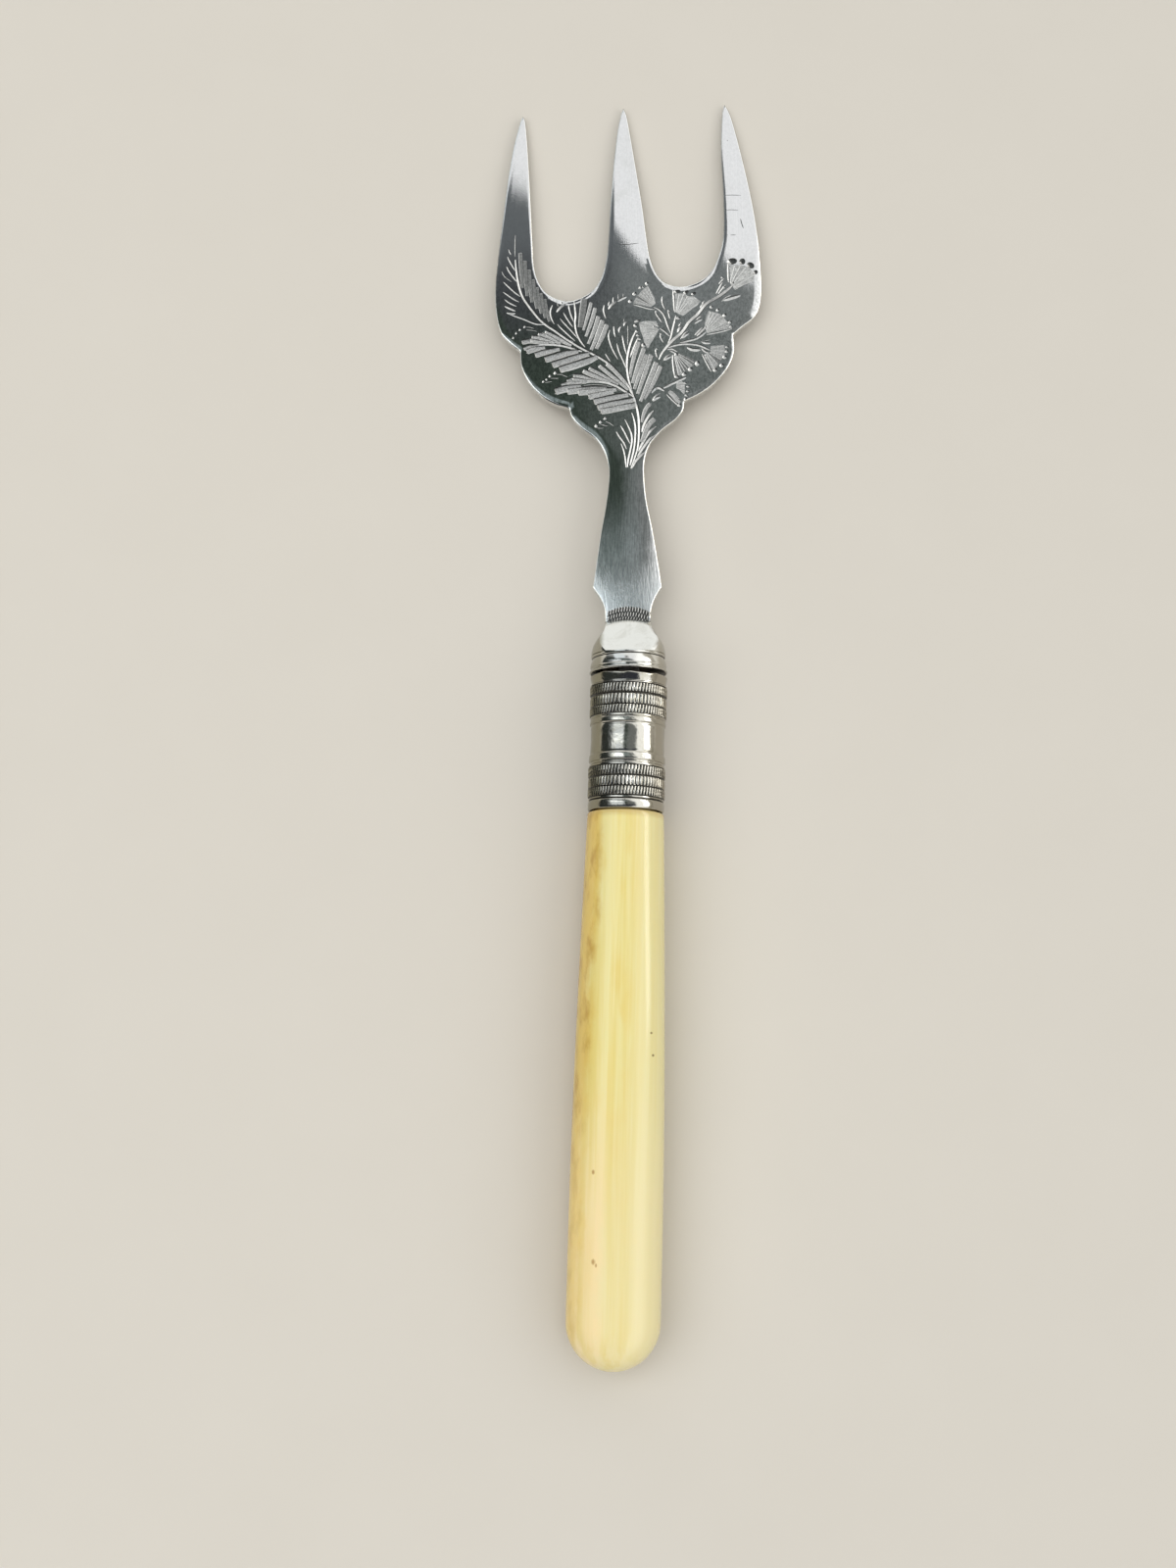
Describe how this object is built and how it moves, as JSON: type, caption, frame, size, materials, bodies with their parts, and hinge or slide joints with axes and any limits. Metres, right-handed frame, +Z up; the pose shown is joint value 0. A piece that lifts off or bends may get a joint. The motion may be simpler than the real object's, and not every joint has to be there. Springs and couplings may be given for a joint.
{
  "type": "bread fork",
  "caption": "Flat bread fork with long pointed tines, scalloped engraved blade, waisted neck, faceted bolster, milled ferrule and an oval bone handle.",
  "frame": {"origin": "middle of the fork's box, on the surface that the fork lies on", "axes": "+Y along the blade towards the tine points, +Z up out of the engraved face, +X to the right seen from above"},
  "size_m": [0.0444, 0.2082, 0.0128],
  "materials": {
    "plated_blade": "polished",
    "plated_bolster": "polished",
    "plated_ferrule": "polished",
    "tang_steel": "matte",
    "cement_resin": "matte",
    "handle_bone": "gloss"
  },
  "bodies": {
    "root": {"fork_blade": "plated_blade", "bolster": "plated_bolster", "ferrule": "plated_ferrule", "tang": "tang_steel", "cutlers_cement": "cement_resin", "handle": "handle_bone"}
  },
  "joints": []
}
